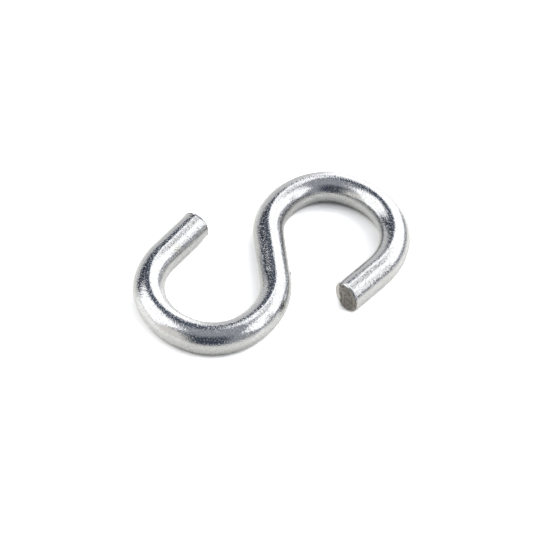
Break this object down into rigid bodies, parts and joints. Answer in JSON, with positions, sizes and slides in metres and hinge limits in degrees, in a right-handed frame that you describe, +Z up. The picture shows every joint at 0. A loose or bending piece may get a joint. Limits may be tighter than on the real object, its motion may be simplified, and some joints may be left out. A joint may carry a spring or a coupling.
{
  "type": "s hook",
  "caption": "Open S hook bent from round zinc-plated steel wire, with two open loops in one plane and sheared ends.",
  "frame": {"origin": "on the floor under the middle of the straight shank, which is within 0.4 mm of the bottom centre of the hook's box", "axes": "+Y along the shank towards the far loop, which opens towards -Y on the +X side; the near loop opens towards +Y on the -X side; +Z up, square to the plane of both loops"},
  "size_m": [0.0452, 0.0373, 0.005],
  "materials": {
    "zinc_plated_steel": "bright zinc plating, smooth with a faint orange-peel ripple along the drawn wire, bare grey steel on the sheared ends"
  },
  "bodies": {
    "root": {"s_hook": "zinc_plated_steel"}
  },
  "joints": []
}
